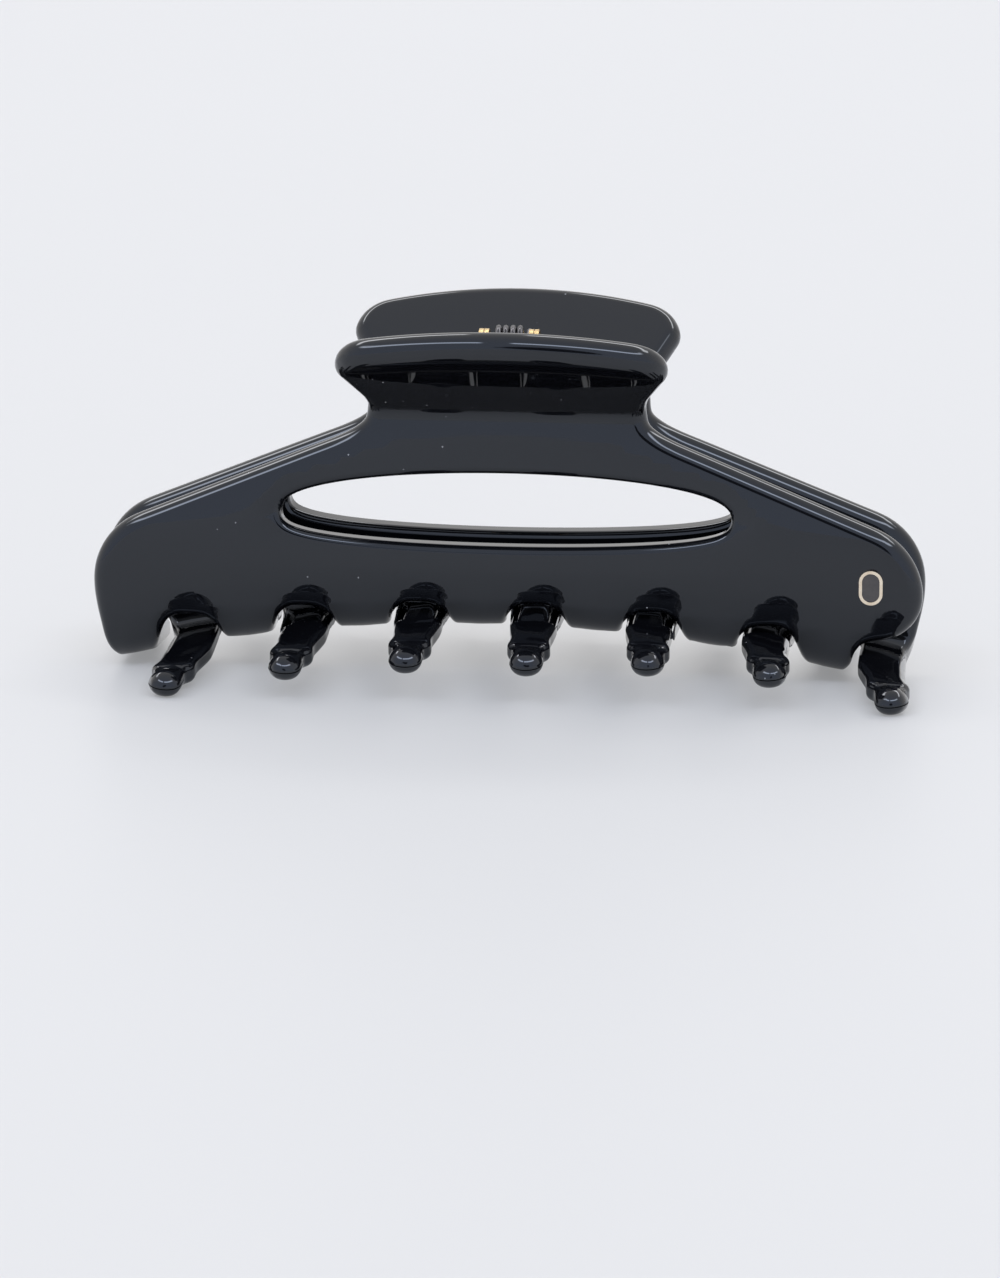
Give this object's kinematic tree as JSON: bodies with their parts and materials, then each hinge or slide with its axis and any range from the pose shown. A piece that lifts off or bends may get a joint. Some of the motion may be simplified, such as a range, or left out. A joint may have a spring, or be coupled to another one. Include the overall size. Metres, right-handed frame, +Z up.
{
  "type": "hair claw clip",
  "caption": "Large glossy hair claw clip: two identical slotted halves with thumb tabs and curled interlocking claws, joined by a sprung metal hinge.",
  "frame": {"origin": "on the floor under the middle of the clip, where the outermost claws' noses touch", "axes": "+X along the clip, -Y towards the half that carries the badge, +Z up, with the thumb tabs at the top"},
  "size_m": [0.11, 0.04, 0.0496],
  "materials": {
    "acetate": "polished black cellulose acetate",
    "gilt_leaf": "stamped, gold plated",
    "screw_steel": "plain",
    "pin_steel": "bright",
    "spring_wire": "dark oxide finish on drawn wire",
    "badge_metal": "pale gold plate",
    "badge_enamel": "dark enamel"
  },
  "bodies": {
    "front_half": {"front_jaw": "acetate", "front_hinge_leaf": "gilt_leaf", "front_leaf_screws": "screw_steel", "hinge_pin": "pin_steel", "pin_cap": "pin_steel", "torsion_spring": "spring_wire", "badge_frame": "badge_metal", "badge_enamel": "badge_enamel"},
    "back_half": {"back_jaw": "acetate", "back_hinge_leaf": "gilt_leaf", "back_leaf_screws": "screw_steel"}
  },
  "joints": [
    {"name": "jaw_hinge", "type": "hinge", "parent": "front_half", "child": "back_half", "pos_m": [0, 0, 0.0436], "axis": [1, 0, 0], "range_deg": [0, 85], "stiffness_Nm_per_rad": 0.06, "springref_deg": -51.57, "deforming": ["torsion_spring"]}
  ]
}
